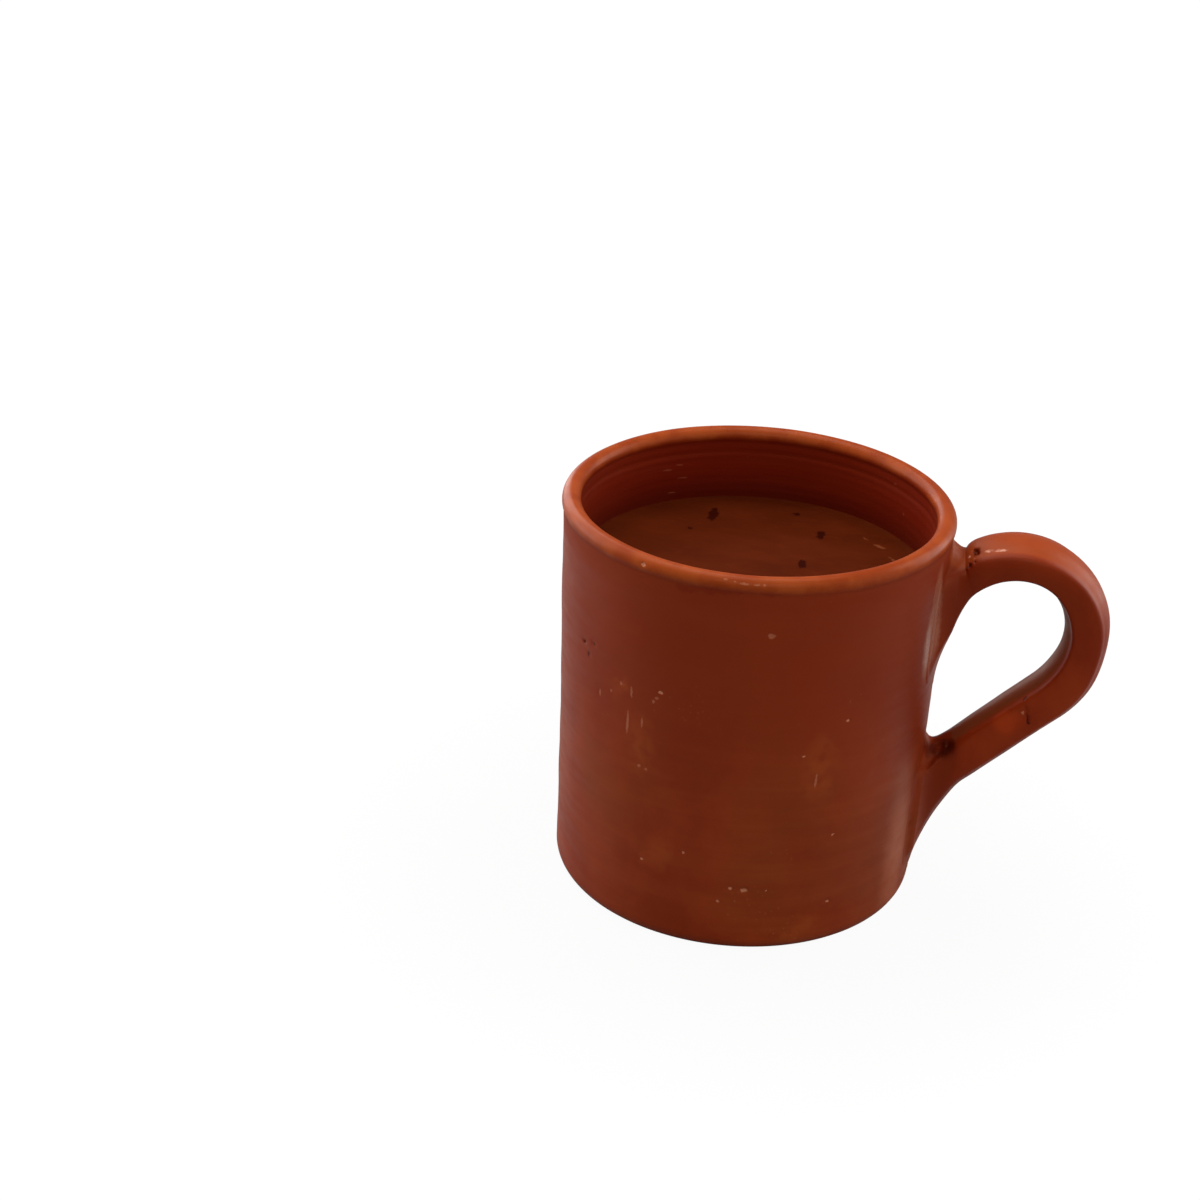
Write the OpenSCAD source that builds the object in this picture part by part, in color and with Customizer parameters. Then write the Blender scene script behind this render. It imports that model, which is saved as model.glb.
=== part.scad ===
// A thrown and burnished terracotta cup with a pulled strap handle.
// The cup stands on its base, centred on the Z axis, with the handle towards +X.

/* [Cup] */
// Width across the outside of the rolled rim
rim_d = 82; // [74:1:94]
// Width across the outside of the wall, just above the foot
foot_d = 78.4; // [72:0.2:90]
// Height from the table to the top of the rim
body_h = 86.7; // [80:0.1:105]
// Thickness of the rolled rim
rim_t = 4.1; // [3.8:0.1:5.5]
// How far the rolled rim stands proud of the wall outside
rim_proud = 0.35; // [0.1:0.05:0.8]
// Thickness of the wall under the rim
wall_top_t = 3.5; // [2.6:0.1:4]
// Thickness of the wall where it meets the floor
wall_low_t = 4.4; // [3:0.1:6]
// Thickness of the floor
floor_t = 5.5; // [4:0.1:8]
// Radius round the outside of the foot
foot_round = 3.2; // [1.5:0.1:4.5]
// Radius of the inside corner between floor and wall
well_round = 9; // [5:0.5:12]

/* [Handle] */
// How far the middle of the strap stands off the wall at its furthest
strap_out = 29.6; // [26:0.1:36]
// Depth of the middle of the strap below the rim, at its highest
crown_drop = 7.4; // [6:0.1:10]
// Radius of the arch, along the middle of the strap
arch_r = 15.4; // [14:0.1:17]
// Radius of the outer bend below the arch
bend_r = 22.4; // [19:0.1:26]
// Slope of the straight lower arm, in degrees below level
arm_slope = 44.3; // [40:0.1:50]
// Width of the strap at its widest, on the arch
strap_w = 14; // [11:0.5:17]
// Thickness of the strap at its thickest, in the lower arm
strap_t = 9.6; // [8:0.1:11]
// How square the strap is in section, where 2 is an oval
squareness = 5; // [3:0.5:8]

/* [Joints in the clay] */
// How far the upper seam stands off the wall under the rim
upper_off = 4; // [3:0.1:6]
// How far the lower seam stands off the wall above the foot
lower_off = 7.1; // [5:0.1:9]
// Lean of the upper seam from upright, in degrees
upper_lean = 20; // [5:1:35]
// Lean of the lower seam from upright, in degrees
lower_lean = 16; // [5:1:35]
// Depth to which the end of the strap is rounded at the upper seam
upper_groove = 1.2; // [0.3:0.1:1.6]
// Depth to which the end of the strap is rounded at the lower seam
lower_groove = 0.5; // [0.2:0.1:1.2]
// Length of strap over which each end is rounded
groove_len = 2.4; // [1:0.1:4]
// How far the upper luting climbs the wall above its seam
upper_climb = 1.5; // [0.5:0.1:2.5]
// How far the upper luting is smeared down the wall below its seam
upper_smear = 27; // [15:0.5:30]
// How far the upper luting spreads sideways where it meets the wall
upper_spread = 5; // [2:0.1:7]
// How far the top of the lower luting dips from its seam to the wall
lower_dip = 3; // [0:0.1:5]
// Height of the tail of the lower luting above the table
tail_rise = 2; // [1:0.5:8]
// How far the lower luting spreads sideways where it meets the wall
lower_spread = 5; // [2:0.1:7]

/* [Hidden] */
fine_fn = 96;
// Points round one section of the strap, sections along it, and sections through a luting
section_n = 24;
strap_steps = 40;
luting_steps = 12;
// Extra length that carries a cut clear of what it cuts, and that sets a luting into the wall before its cut
overrun = 1;
set_in = 1.7;

// Cup: radii and levels that follow from the sizes above
rim_r = rim_d / 2;
neck_r = rim_r - rim_proud;
foot_r = foot_d / 2;
rim_z = body_h - rim_t / 2;
well_r = foot_r - wall_low_t;

// Handle: the middle line is an arch, an outer bend and a straight arm, from the upper seam to the lower
reach_x = neck_r + strap_out;
upper_x = neck_r + upper_off;
lower_x = foot_r + lower_off;
arch_x = reach_x - arch_r;
arch_z = body_h - crown_drop - arch_r;
bend_x = reach_x - bend_r;
arch_start = -asin((arch_x - upper_x) / arch_r);
bend_end = 90 - arm_slope;
arch_len = arch_r * (90 - arch_start) * PI / 180;
bend_len = bend_r * bend_end * PI / 180;
arm_x = bend_x + bend_r * cos(bend_end);
arm_z = arch_z - bend_r * sin(bend_end);
arm_len = (arm_x - lower_x) / cos(arm_slope);
strap_len = arch_len + bend_len + arm_len;

// Thickness and width of the strap at equal steps from the upper seam to the lower
thick_shares = [0.86, 0.68, 0.88, 0.995, 0.99, 1];
wide_shares = [0.95, 1, 0.94, 0.82, 0.72, 0.67];
// Share of the strap's length over which its sections turn from each seam's lean to square
turn_share = 0.16;
// Shares of a rounded end's depth that the inside face and the edges of the strap take
inside_share = 0.2;
edge_share = 0.6;
// Where the extra sections of a rounded end lie, as shares of its length
end_shares = [0, 0.06, 0.2, 0.42, 0.7];
// Part of each luting's way along the wall that is straight, and how sharply the rest bends to it
upper_straight_share = 0.6;
lower_straight_share = 0.86;
smear_pull = 3.5;
spread_pull = 2.2;
// Roundness of a luting where it meets the wall
foot_squareness = 2.2;

function mix(a, b, v) = a + (b - a) * v;

// Radius of the outside of the wall at a height
function wall_r(z) = mix(foot_r, neck_r, (z - foot_round) / (rim_z - foot_round));

// Smooth curve through evenly spaced values, for a share u of the way
function flow(t, u) =
    let (
        last = len(t) - 1,
        i = min(floor(u * last), last - 1),
        f = u * last - i,
        b = t[i],
        c = t[i + 1],
        a = i > 0 ? t[i - 1] : 2 * b - c,
        d = i + 2 <= last ? t[i + 2] : 2 * c - b
    )
    b + f * (c - a + f * (2 * a - 5 * b + 4 * c - d + f * (3 * b - a - 3 * c + d))) / 2;

// Place [x, z] and heading of the middle line at a distance from the upper seam
function on_arch(a) = [arch_x + arch_r * sin(a), arch_z + arch_r * cos(a), -a];
function on_bend(a) = [bend_x + bend_r * cos(a), arch_z - bend_r * sin(a), -90 - a];
function on_arm(s) = [arm_x - s * cos(arm_slope), arm_z - s * sin(arm_slope), arm_slope - 180];
function place(s) =
    s < arch_len ? on_arch(mix(arch_start, 90, s / arch_len)) :
    s < arch_len + bend_len ? on_bend(bend_end * (s - arch_len) / bend_len) :
    on_arm(s - arch_len - bend_len);

// How far a rounded end draws in, at a distance from the seam
function draw_in(d, depth) = d >= groove_len ? 0 : depth * (1 - sqrt(1 - pow(1 - d / groove_len, 2)));

// How far a section leans from square to the middle line, at a distance from each seam
function ease(u) = u >= 1 ? 0 : pow(1 - u, 2) * (1 + 2 * u);
upper_turn = upper_lean + arch_start;
lower_turn = lower_lean - arm_slope;
function lean(s) =
    upper_turn * ease(s / strap_len / turn_share) + lower_turn * ease((strap_len - s) / strap_len / turn_share);

// One section: [outer point, inner point, half width], the points as [x, z]
function strap_section(s) =
    let (
        p = place(s),
        u = s / strap_len,
        inset = draw_in(s, upper_groove) + draw_in(strap_len - s, lower_groove),
        half_t = flow(thick_shares, u) * strap_t / 2 / cos(lean(s)),
        half_w = flow(wide_shares, u) * strap_w / 2,
        a = p[2] + lean(s),
        across = [-sin(a), cos(a)],
        middle = [p[0], p[1]]
    )
    [
        middle + across * (half_t - inset),
        middle - across * (half_t - inset * inside_share),
        half_w - inset * edge_share
    ];

// Closed ring of points round a section
function ring(section, square) =
    let (
        middle = (section[0] + section[1]) / 2,
        arm = (section[0] - section[1]) / 2
    )
    [
        for (i = [0 : section_n - 1])
            let (
                c = cos(360 * i / section_n),
                s = sin(360 * i / section_n),
                u = sign(c) * pow(abs(c), 2 / square),
                v = sign(s) * pow(abs(s), 2 / square)
            )
            [middle[0] + arm[0] * u, section[2] * v, middle[1] + arm[1] * u]
    ];

// Solid skinned over rings of equal count, with flat ends
module loft(rings) {
    n = len(rings[0]);
    m = len(rings);
    polyhedron(
        points = [for (r = rings) each r],
        faces = concat(
            [[for (i = [n - 1 : -1 : 0]) i]],
            [[for (i = [0 : n - 1]) (m - 1) * n + i]],
            [
                for (k = [0 : m - 2], i = [0 : n - 1])
                    let (a = k * n + i, b = k * n + (i + 1) % n)
                    each [[a, b, b + n], [a, b + n, a + n]]
            ]
        )
    );
}

// Outline of the outside of the cup, filled to the axis, up to the middle of the rim
module outside_outline() {
    polygon([
        [0, 0],
        [foot_r - foot_round, 0],
        [foot_r, foot_round],
        [neck_r, rim_z],
        [0, rim_z]
    ]);
    translate([foot_r - foot_round, foot_round])
        circle(r = foot_round, $fn = fine_fn);
}

// Outline of the hollow, from the floor out through the mouth
module well_outline() {
    polygon([
        [0, floor_t],
        [well_r - well_round, floor_t],
        [well_r, floor_t + well_round],
        [neck_r - wall_top_t, rim_z],
        [neck_r - wall_top_t, rim_z + overrun],
        [0, rim_z + overrun]
    ]);
    translate([well_r - well_round, floor_t + well_round])
        circle(r = well_round, $fn = fine_fn);
}

module cup_body() {
    color("#93401f")
        rotate_extrude($fn = fine_fn) {
            difference() {
                outside_outline();
                well_outline();
            }
            translate([rim_r - rim_t / 2, rim_z])
                circle(d = rim_t, $fn = fine_fn);
        }
}

// What a luting is cut back to, so that it lies on the wall
module wall_form() {
    rotate_extrude($fn = fine_fn)
        outside_outline();
}

// Distances of the strap's sections from the upper seam
strap_stops = concat(
    [for (k = end_shares) k * groove_len],
    [for (i = [0 : strap_steps]) mix(groove_len, strap_len - groove_len, i / strap_steps)],
    [for (i = [len(end_shares) - 1 : -1 : 0]) strap_len - end_shares[i] * groove_len]
);

module handle() {
    color("#a0481f")
        loft([for (s = strap_stops) ring(strap_section(s), squareness)]);
}

// How much of its way along the wall a luting has gone, for a share v of the way in to the wall
function smeared(v, straight_share) = mix(pow(v, smear_pull), v, straight_share);

// Section of a luting, a share v of the way from its seam to the set-in end, where rises are upwards
function luting_section(seam, outer_rise, inner_rise, spread, straight_share, v) =
    let (
        outer_end = wall_r(seam[0][1] + outer_rise) - set_in,
        inner_end = wall_r(seam[1][1] + inner_rise) - set_in,
        done = smeared(v, straight_share)
    )
    [
        [mix(seam[0][0], outer_end, v), seam[0][1] + outer_rise * done],
        [mix(seam[1][0], inner_end, v), seam[1][1] + inner_rise * done],
        seam[2] + spread * pow(v, spread_pull)
    ];

module luting(seam, outer_rise, inner_rise, spread, straight_share, inwards) {
    difference() {
        loft([
            for (i = [0 : luting_steps])
                let (v = inwards ? i / luting_steps : 1 - i / luting_steps)
                ring(
                    luting_section(seam, outer_rise, inner_rise, spread, straight_share, v),
                    mix(squareness, foot_squareness, v)
                )
        ]);
        wall_form();
    }
}

module upper_luting() {
    color("#96421e")
        luting(strap_section(0), upper_climb, -upper_smear, upper_spread, upper_straight_share, false);
}

module lower_luting() {
    seam = strap_section(strap_len);
    color("#8b3c1c")
        luting(seam, tail_rise - seam[0][1], -lower_dip, lower_spread, lower_straight_share, true);
}

cup_body();
handle();
upper_luting();
lower_luting();
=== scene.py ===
import math

import bmesh
import bpy
from mathutils import Matrix, Vector, kdtree, noise


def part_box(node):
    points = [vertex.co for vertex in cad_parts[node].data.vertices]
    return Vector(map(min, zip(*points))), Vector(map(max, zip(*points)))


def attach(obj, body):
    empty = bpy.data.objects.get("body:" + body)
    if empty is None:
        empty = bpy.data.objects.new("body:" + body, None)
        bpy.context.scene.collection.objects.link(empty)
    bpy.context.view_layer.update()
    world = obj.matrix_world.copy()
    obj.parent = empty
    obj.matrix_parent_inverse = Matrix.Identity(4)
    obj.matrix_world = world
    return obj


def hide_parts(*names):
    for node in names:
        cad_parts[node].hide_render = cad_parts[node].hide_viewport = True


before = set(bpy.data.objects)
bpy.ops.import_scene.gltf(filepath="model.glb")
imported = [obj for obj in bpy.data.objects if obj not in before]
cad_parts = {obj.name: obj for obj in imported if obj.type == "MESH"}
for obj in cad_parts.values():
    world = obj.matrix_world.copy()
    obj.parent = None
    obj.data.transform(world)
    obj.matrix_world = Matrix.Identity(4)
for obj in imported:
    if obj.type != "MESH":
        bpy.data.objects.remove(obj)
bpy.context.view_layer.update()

# Cup body
# Thrown on a wheel from one ball of terracotta: floor, foot, wall and a rolled rim.
# The wall was coated with red slip and burnished with a stone, which gives a satin skin with fine lines.
# The rim was wiped with a sponge, so its slip is thinner and more orange, and the inside is bare and matt.
MM = 0.001
TURN = 2 * math.pi
body_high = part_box("cup_body")[1]
rim_outer = body_high.y
cup_height = body_high.z
rim_thick = 4.1 * MM
rim_proud = 0.35 * MM
foot_outer = 39.2 * MM
foot_round = 3.2 * MM
floor_thick = 5.5 * MM
well_round = 9 * MM
wall_top_thick = 3.5 * MM
wall_low_thick = 4.4 * MM
rim_mid = rim_outer - rim_thick / 2
rim_level = cup_height - rim_thick / 2
neck = rim_outer - rim_proud
well = foot_outer - wall_low_thick
mouth = neck - wall_top_thick
drink_level = 70.3 * MM
turned_sides = 300


def wall_radius(z):
    return foot_outer + (neck - foot_outer) * (z - foot_round) / (rim_level - foot_round)


def inner_radius(z):
    return well + (mouth - well) * (z - floor_thick - well_round) / (rim_level - floor_thick - well_round)


def ridges(z, kinds):
    """Uneven ridges that fingers and ribs leave round the wall at a height, each a length and a depth."""
    total = 0
    for row, (length, depth) in enumerate(kinds):
        total += depth * noise.noise(Vector((3.7, 1.3, (z + row) / length)))
    return total


def arc(middle, radius, first, last, steps):
    """Points of an arc in the turning plane, from one angle to another, in degrees."""
    angles = [math.radians(first + (last - first) * i / steps) for i in range(steps + 1)]
    return [(middle[0] + radius * math.cos(a), middle[1] + radius * math.sin(a)) for a in angles]


def stretch(start, end, step):
    """Points from start up to, but not including, end."""
    count = max(1, round(math.dist(start, end) / step))
    return [tuple(s + (e - s) * i / count for s, e in zip(start, end)) for i in range(count)]


def take(piece):
    """Makes a piece the only selected one."""
    bpy.ops.object.select_all(action="DESELECT")
    bpy.context.view_layer.objects.active = piece
    piece.select_set(True)


def edit(piece):
    take(piece)
    bpy.ops.object.mode_set(mode="EDIT")


def leave_edit():
    bpy.ops.object.mode_set(mode="OBJECT")


def modify(piece, kind, **settings):
    """Adds a modifier and applies it."""
    take(piece)
    bpy.ops.object.modifier_add(type=kind)
    added = piece.modifiers[-1]
    for name, value in settings.items():
        setattr(added, name, value)
    bpy.ops.object.modifier_apply(modifier=added.name)


def turn_on_wheel(name, outline, sides):
    """Draws an outline in the XZ plane point by point and spins it into a closed turned form."""
    bpy.ops.object.select_all(action="DESELECT")
    bpy.ops.mesh.primitive_plane_add(size=MM, location=(0, 0, 0))
    piece = bpy.context.object
    piece.name = name
    piece.data.name = name
    edit(piece)
    bpy.ops.mesh.merge(type="CENTER")
    bpy.ops.transform.translate(value=(outline[0][0], 0, outline[0][1]))
    for before, after in zip(outline, outline[1:]):
        bpy.ops.mesh.extrude_vertices_move(
            TRANSFORM_OT_translate={"value": (after[0] - before[0], 0, after[1] - before[1])}
        )
    bpy.ops.mesh.select_all(action="SELECT")
    bpy.ops.mesh.spin(steps=sides, angle=TURN, center=(0, 0, 0), axis=(0, 0, 1))
    bpy.ops.mesh.select_all(action="SELECT")
    bpy.ops.mesh.remove_doubles(threshold=0.01 * MM)
    bpy.ops.mesh.normals_make_consistent(inside=False)
    leave_edit()
    return piece


outer_step = 0.55 * MM
inner_step = 0.45 * MM
hidden_step = 2.5 * MM
foot_steps = 10
rim_steps = 26
well_steps = 6
# Ridges, each a length and a depth. The stone pressed those outside down, and those inside were left.
outer_ridges = [(5 * MM, 0.07 * MM), (1.6 * MM, 0.016 * MM)]
inner_ridges = [(2.6 * MM, 0.13 * MM), (1.1 * MM, 0.07 * MM)]
# Over these lengths the ridges fade out towards the foot, the rim and the mouth.
foot_fade = 6 * MM
rim_fade = 3 * MM
mouth_fade = 1.5 * MM
# One groove runs round the inside under the mouth.
groove_drop = 2.4 * MM
groove_deep = 0.13 * MM
groove_wide = 0.4 * MM
ridges_under_drink = 3 * MM

rim_under = math.degrees(math.acos((neck - rim_mid) / (rim_thick / 2)))
rim_inside = math.degrees(math.acos((rim_mid - mouth) / (rim_thick / 2)))
cup_outline = stretch((0, 0), (foot_outer - foot_round, 0), hidden_step)
cup_outline += arc((foot_outer - foot_round, foot_round), foot_round, -90, 0, foot_steps)[:-1]
wall_top = rim_level - rim_thick / 2 * math.sin(math.radians(rim_under))
for r, z in stretch((foot_outer, foot_round), (neck, wall_top), outer_step):
    fade = min(1, (z - foot_round) / foot_fade, (wall_top - z) / rim_fade)
    cup_outline.append((r + fade * ridges(z, outer_ridges), z))
cup_outline += arc((rim_mid, rim_level), rim_thick / 2, -rim_under, 180 + rim_inside, rim_steps)
mouth_level = rim_level - rim_thick / 2 * math.sin(math.radians(rim_inside))
under_drink = drink_level - ridges_under_drink
groove_level = mouth_level - groove_drop
inner_top = (inner_radius(mouth_level), mouth_level)
inner_low = (inner_radius(under_drink), under_drink)
for r, z in stretch(inner_top, inner_low, inner_step)[1:]:
    r += min(1, (mouth_level - z) / mouth_fade) * ridges(z, inner_ridges)
    r += groove_deep * math.exp(-(((z - groove_level) / groove_wide) ** 2))
    cup_outline.append((r, z))
cup_outline += stretch(inner_low, (well, floor_thick + well_round), hidden_step)
cup_outline += arc((well - well_round, floor_thick + well_round), well_round, 0, -90, well_steps)[:-1]
cup_outline += stretch((well - well_round, floor_thick), (0, floor_thick), 2 * hidden_step)
cup_outline.append((0, floor_thick))
cup = turn_on_wheel("thrown_cup", cup_outline, turned_sides)


def hand_wobble(piece, name, size, depth, free=""):
    """Lets the hands show: soft unevenness of a given size and depth, mostly inwards, on the free clay."""
    clouds = bpy.data.textures.new(name, "CLOUDS")
    clouds.noise_scale = size
    clouds.noise_depth = 1
    settings = {"texture": clouds, "texture_coords": "LOCAL", "strength": depth, "mid_level": 0.78}
    modify(piece, "DISPLACE", vertex_group=free, **settings)


# The base stays flat, as it dried on a board, and the wiped rim stays nearly level.
flat_base = 0.5 * MM
base_fade = 8 * MM
top_fade = 9 * MM
rim_freedom = 0.35
free_clay = cup.vertex_groups.new(name="free_clay")
for vertex in cup.data.vertices:
    above = (vertex.co.z - flat_base) / base_fade
    below = max(rim_freedom, (cup_height - vertex.co.z) / top_fade)
    free_clay.add([vertex.index], max(0, min(1, above, below)), "REPLACE")
hand_wobble(cup, "slow_wobble", size=30 * MM, depth=0.6 * MM, free="free_clay")
hand_wobble(cup, "burnish_dents", size=9 * MM, depth=0.14 * MM, free="free_clay")
cup.vertex_groups.clear()

finer_rounds = 2
finer_reach = 1.3


def skin_of(piece):
    """The mesh of a piece that is in edit mode."""
    skin = bmesh.from_edit_mesh(piece.data)
    skin.verts.ensure_lookup_table()
    return skin


def finder_of(skin):
    """Finds the points of a mesh that lie near a place."""
    finder = kdtree.KDTree(len(skin.verts))
    for vertex in skin.verts:
        finder.insert(vertex.co, vertex.index)
    finder.balance()
    return finder


def dent(piece, places):
    """Pits in a mesh made finer round them: each place is a point, a radius, a depth and the way in."""
    edit(piece)
    bpy.ops.mesh.select_mode(type="VERT")
    for _ in range(finer_rounds):
        bpy.ops.mesh.select_all(action="DESELECT")
        skin = skin_of(piece)
        finder = finder_of(skin)
        for point, radius, depth, inwards in places:
            for place, index, distance in finder.find_range(point, finer_reach * radius):
                skin.verts[index].select_set(True)
        skin.select_flush(True)
        bpy.ops.mesh.subdivide(number_cuts=1)
    finder = finder_of(skin_of(piece))
    middles = [finder.find(place[0])[1] for place in places]
    for middle, (point, radius, depth, inwards) in zip(middles, places):
        bpy.ops.mesh.select_all(action="DESELECT")
        skin_of(piece).verts[middle].select_set(True)
        bpy.ops.transform.translate(
            value=inwards * depth,
            use_proportional_edit=True,
            proportional_edit_falloff="SMOOTH",
            proportional_size=radius,
        )
    leave_edit()


def on_wall(turned, z):
    """Point on the outside of the wall and the way in, at an angle from the handle and a height in mm."""
    a = math.radians(turned)
    r = wall_radius(z * MM)
    return Vector((r * math.cos(a), r * math.sin(a), z * MM)), Vector((-math.cos(a), -math.sin(a), 0))


# Places where the slip is chipped off the pale clay.
# Each is an angle from the handle, a height, half a width along the wall, half a height and a depth, in mm.
chips = [
    (-81, 15.1, 0.95, 0.75, 0.4),
    (-85.2, 15.4, 0.6, 0.5, 0.3),
    (-117.6, 85.2, 0.6, 0.45, 0.3),
    (-88.8, 12.1, 0.5, 0.3, 0.2),
    (-53.7, 10.6, 0.5, 0.35, 0.25),
    (-53.7, 54.1, 0.45, 0.4, 0.25),
    (-113.7, 18.1, 0.4, 0.3, 0.15),
    (-100.2, 22.6, 0.4, 0.3, 0.15),
    (-74.4, 15.2, 0.3, 0.25, 0.1),
    (-54.7, 27.3, 0.4, 0.25, 0.1),
    (-66.9, 47.2, 0.45, 0.25, 0.1),
    (-110.2, 58.3, 0.6, 0.4, 0.15),
]
# Fainter scratches and rubs, written in the same way.
scratches = [
    (-111.3, 56.8, 0.5, 0.4, 0.12),
    (-112.3, 55.8, 0.35, 0.5, 0.1),
    (-121.2, 48.8, 0.4, 3.4, 0.1),
    (-120.2, 56.0, 0.35, 1.6, 0.1),
    (-133.1, 52.1, 0.35, 1.1, 0.1),
    (-128.2, 54.1, 0.3, 0.4, 0.1),
    (-124.3, 56.9, 0.4, 0.5, 0.1),
    (-116.0, 50.1, 0.35, 1.5, 0.1),
    (-116.3, 39.9, 0.4, 0.5, 0.1),
    (-113.9, 39.6, 0.5, 0.4, 0.1),
    (-62.3, 41.2, 0.32, 2.0, 0.1),
    (-79.4, 74.6, 0.9, 0.7, 0.12),
]
# Dark pits where grit came out before the slip went on, written in the same way.
grit_pits = [(-141.8, 61.1, 0.6, 0.6, 0.4), (-136.8, 62.2, 0.5, 0.4, 0.3), (-139.5, 59.2, 0.35, 0.8, 0.25)]
# A mark taller than this is dented at three places up its height.
tall_mark = 1
up_a_mark = (-0.6, 0, 0.6)
dent_spread = 1.3
mark_places = []
for turned, z, along, tall, depth in chips + scratches + grit_pits:
    for step in up_a_mark if tall > tall_mark else (0,):
        point, inwards = on_wall(turned, z + step * tall)
        mark_places.append((point, dent_spread * along * MM, depth * MM, inwards))
dent(cup, mark_places)


def smooth(piece, angle):
    take(piece)
    bpy.ops.object.shade_smooth_by_angle(angle=math.radians(angle))


smooth(cup, angle=50)

# A map range takes a value, the two levels it goes between and what it gives there. With this it is smooth.
SOFT = {"interpolation_type": "SMOOTHSTEP"}


def linear(code):
    """An sRGB hex colour as the linear colour that a socket takes."""
    parts = [int(code[i : i + 2], 16) / 255 for i in (1, 3, 5)]
    return tuple(c / 12.92 if c <= 0.04045 else ((c + 0.055) / 1.055) ** 2.4 for c in parts) + (1,)


def add(tree, kind, inputs=(), out=0, **settings):
    """Adds a node with its settings and its inputs, and gives the output asked for, if it has one.

    The inputs go by number or name, and each is a socket that feeds it, a value or a hex colour.
    """
    node = tree.nodes.new("ShaderNode" + kind)
    for name, value in settings.items():
        setattr(node, name, value)
    for name, value in inputs.items() if isinstance(inputs, dict) else enumerate(inputs):
        if isinstance(value, bpy.types.NodeSocket):
            tree.links.new(value, node.inputs[name])
        else:
            node.inputs[name].default_value = linear(value) if isinstance(value, str) else value
    return node.outputs[out] if len(node.outputs) else None


def new_material(name, rough, gloss=0.24, tint="#ffffff"):
    """A material with its shader and output, ready for a surface."""
    material = bpy.data.materials.new(name)
    material.use_nodes = True
    tree = material.node_tree
    tree.nodes.clear()
    inputs = {"Roughness": rough, "IOR": 1.45, "Specular IOR Level": gloss, "Specular Tint": tint}
    surface = add(tree, "BsdfPrincipled", inputs)
    add(tree, "OutputMaterial", {"Surface": surface})
    return material, tree, surface.node


def grain(tree, place, size_mm, stretch_by=(1, 1, 1), detail=3, rough=0.55):
    """Noise with grains of a real size in millimetres, longer along an axis by its stretch."""
    scale = tuple(1 / MM / size_mm / s for s in stretch_by)
    sized = add(tree, "Mapping", {"Vector": place, "Scale": scale})
    return add(tree, "TexNoise", {"Vector": sized, "Scale": 1, "Detail": detail, "Roughness": rough})


def patches(tree, place, size_mm, levels, **kind):
    """Soft patches of a real size, where the grain rises from the first of two levels to the second."""
    return add(tree, "MapRange", (grain(tree, place, size_mm, **kind), *levels), **SOFT)


def torn(tree, place, grain_mm, shift_mm):
    """Object coordinates pushed about by noise of a grain size, which gives a spot a ragged edge."""
    noisy = add(tree, "TexNoise", {"Vector": place, "Scale": 1 / MM / grain_mm, "Detail": 3}, "Color")
    centred = add(tree, "VectorMath", (noisy, (0.5, 0.5, 0.5)), operation="SUBTRACT")
    push = add(tree, "VectorMath", {0: centred, "Scale": 2 * shift_mm * MM}, operation="SCALE")
    return add(tree, "VectorMath", (place, push), operation="ADD")


def blots(tree, place, spots, edge=0.4):
    """Soft-edged spots, each a point, half sizes in mm through, along and up the wall, and a turn."""
    share = 0.0
    for at, size, turned in spots:
        half = tuple(length * MM for length in size)
        inputs = {"Vector": place, "Location": at, "Rotation": (0, 0, math.radians(turned)), "Scale": half}
        sized = add(tree, "Mapping", inputs, vector_type="TEXTURE")
        ball = add(tree, "TexGradient", (sized,), gradient_type="SPHERICAL")
        spot = add(tree, "MapRange", (ball, 0, edge), **SOFT)
        share = add(tree, "Math", (share, spot), operation="MAXIMUM")
    return share


def paint(tree, colour, new, mask, share=1):
    """Lays a new colour over a colour where a mask is, by a share of it.

    A mix has sockets for every kind of value. Inputs 6 and 7 and output 2 are those for colours.
    """
    part = add(tree, "Math", (mask, share), operation="MULTIPLY")
    return add(tree, "Mix", {0: part, 6: colour, 7: new}, out=2, data_type="RGBA")


def mark(tree, place, colour, new, spots, ragged, share, edge=0.4):
    """Lays a new colour on spots, whose edge is torn by a grain size and a shift in mm."""
    return paint(tree, colour, new, blots(tree, torn(tree, place, *ragged), spots, edge), share)


def wall_spots(marks):
    """Marks given by an angle, a height and half sizes in mm, as spots on the wall."""
    through = 1.6
    sizes = [mark[:4] for mark in marks]
    return [(on_wall(turned, z)[0], (through, along, tall), turned) for turned, z, along, tall in sizes]


slip_red = "#903413"
slip_dark = "#82290c"
slip_orange = "#9e441b"
slip_brown = "#7a3613"
rim_orange = "#8f3713"
clay_pale_and_highlight = "#d8906e"
pit_brown_and_shade = "#3c0f06"
inside_red = "#751b07"
inside_dark = "#651304"
inside_low_dark = "#551003"
worn_and_highlight_orange = "#b56a4b"
highlight_pale = "#bc795f"
gloss_warm = "#ffcba8"


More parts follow.
